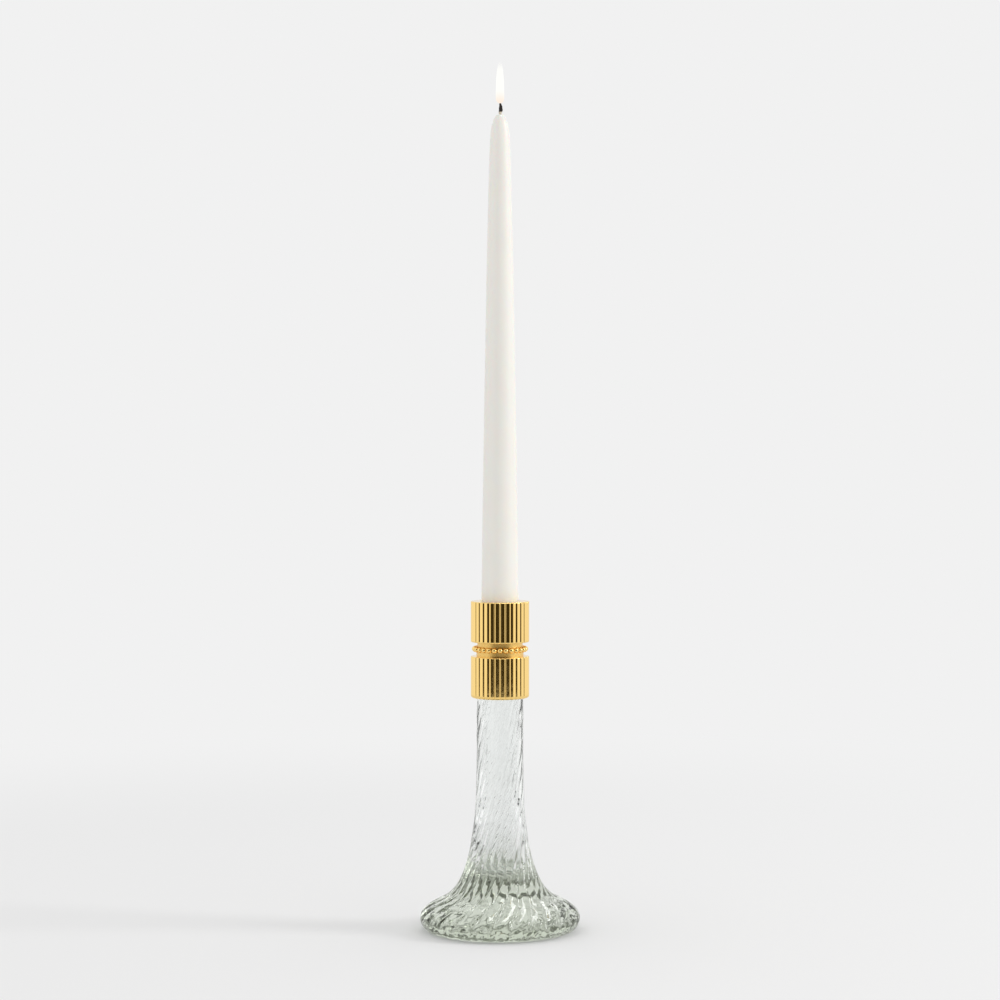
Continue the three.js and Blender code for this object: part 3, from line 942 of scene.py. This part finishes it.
def near(tree, angle, middle, half, soft):
    """1 where an angle is within half of the middle, fading to 0 over the soft edge, in degrees."""
    apart = calculate(tree, "ABSOLUTE", calculate(tree, "SUBTRACT", angle, math.radians(middle)))
    step = tree.nodes.new("ShaderNodeMapRange")
    step.interpolation_type = "SMOOTHSTEP"
    tree.links.new(apart, step.inputs["Value"])
    step.inputs["From Min"].default_value = math.radians(half)
    step.inputs["From Max"].default_value = math.radians(half + soft)
    step.inputs["To Min"].default_value = 1.0
    step.inputs["To Max"].default_value = 0.0
    return step.outputs["Result"]


# %% What brass and glass mirror
FRONT_SHADE = 0.95
SIDE_LIGHT = 0.15
STRIP_LIGHT = 6.0
front_across = near(nodes, azimuth, middle=3, half=40, soft=12)
front_up = near(nodes, elevation, middle=5, half=20, soft=12)
front = calculate(nodes, "MULTIPLY", front_across, front_up)
shade = calculate(nodes, "MULTIPLY", front, FRONT_SHADE)
sides = near(nodes, calculate(nodes, "ABSOLUTE", azimuth), middle=90, half=40, soft=20)
around = calculate(nodes, "ADD", calculate(nodes, "MULTIPLY", sides, SIDE_LIGHT), PALE)
around = calculate(nodes, "MULTIPLY", around, calculate(nodes, "SUBTRACT", 1.0, shade))
strip_across = near(nodes, rightward, middle=4, half=7, soft=3)
strip_back = near(nodes, backward, middle=15, half=22, soft=4)
strip = calculate(nodes, "MULTIPLY", strip_across, strip_back)
strip = calculate(nodes, "MULTIPLY", strip, STRIP_LIGHT)
print("world's darkest part:", round(PALE * (1 - FRONT_SHADE), 3), "strip:", STRIP_LIGHT)

# %% [markdown]
# A ray knows what it is for. Rays that bounce off brass or pass through glass get the world made
# above, the strip shows in reflections only, rays from the camera see the plain pale backdrop,
# and all other rays get an even light.

# %% The world's light, chosen by the kind of ray
WORLD_LIGHT = 0.88
WARM_SHADE = (1, 0.8, 0.35, 1)


def choose(tree, share, first, second):
    """The first value where the share is 0 and the second where it is 1."""
    step = tree.nodes.new("ShaderNodeMix")
    step.data_type = "FLOAT"
    for name, value in (("Factor", share), ("A", first), ("B", second)):
        if isinstance(value, (int, float)):
            step.inputs[name].default_value = value
        else:
            tree.links.new(value, step.inputs[name])
    return step.outputs["Result"]


rays = nodes.nodes.new("ShaderNodeLightPath")
glossy, refracted = rays.outputs["Is Glossy Ray"], rays.outputs["Is Transmission Ray"]
mirrored = calculate(nodes, "MAXIMUM", glossy, refracted)
shown = choose(nodes, mirrored, WORLD_LIGHT, around)
bounced = calculate(nodes, "MAXIMUM", calculate(nodes, "SUBTRACT", glossy, refracted), 0.0)
shown = calculate(nodes, "ADD", shown, calculate(nodes, "MULTIPLY", strip, bounced))
shown = choose(nodes, rays.outputs["Is Camera Ray"], shown, PALE)
dim = calculate(nodes, "MULTIPLY", front, mirrored)
background = nodes.nodes["Background"]
nodes.links.new(blend(nodes, dim, WHITE, WARM_SHADE), background.inputs["Color"])
nodes.links.new(shown, background.inputs["Strength"])
print("world nodes:", len(nodes.nodes))

# %% [markdown]
# One lamp stands low on the right and throws the shadow to the left, across the floor. A small
# lamp would make that shadow hard, so this is a wide area lamp, hidden from the camera.

# %% The key light
KEY_PLACE = Vector((2.8, -0.4, 1.5))
KEY_AIM = Vector((0, 0, 0.15))
KEY_WIDTH = 0.8
KEY_HEIGHT = 1.2
KEY_POWER = 25.0
bpy.ops.object.light_add(type="AREA", location=KEY_PLACE)
key = bpy.context.object
key.name = "key"
key.rotation_euler = (KEY_AIM - KEY_PLACE).to_track_quat("-Z", "Y").to_euler()
key.data.shape = "RECTANGLE"
key.data.size = KEY_WIDTH
key.data.size_y = KEY_HEIGHT
key.data.energy = KEY_POWER
key.visible_camera = False
print("key light, m from its aim:", round((KEY_AIM - KEY_PLACE).length, 2))

# %% [markdown]
# The camera stands where the photograph seems to have been taken from: about 1.7 m away and 12 cm
# above the collar, looking slightly down, so that the foot is seen from above. The Standard view
# shows each colour about as it is written.

# %% The camera
CAMERA_BACK = 1.735
CAMERA_HEIGHT = 0.320
CAMERA_PITCH = math.radians(2.09)
SENSOR_WIDTH = 36
LENS = 105.3
bpy.ops.object.camera_add(
    location=(0, -CAMERA_BACK, CAMERA_HEIGHT), rotation=(math.pi / 2 - CAMERA_PITCH, 0, 0)
)
camera = bpy.context.object
camera.data.sensor_fit = "HORIZONTAL"
camera.data.sensor_width = SENSOR_WIDTH
camera.data.lens = LENS
bpy.context.scene.camera = camera
bpy.context.scene.view_settings.view_transform = "Standard"
print("camera above the collar, m:", round(CAMERA_HEIGHT - cup_high.z, 3))

# %% [markdown]
# A ray that crosses the hollow stem passes four surfaces of glass, and in the ribbed foot it may
# pass or bounce many more times. Each time counts, and a ray that runs out of bounces ends black,
# so both limits are raised from Blender's usual 12.

# %% Light paths through thick glass
GLASS_BOUNCES = 24
bpy.context.scene.cycles.max_bounces = GLASS_BOUNCES
bpy.context.scene.cycles.transmission_bounces = GLASS_BOUNCES
print("bounces:", GLASS_BOUNCES)
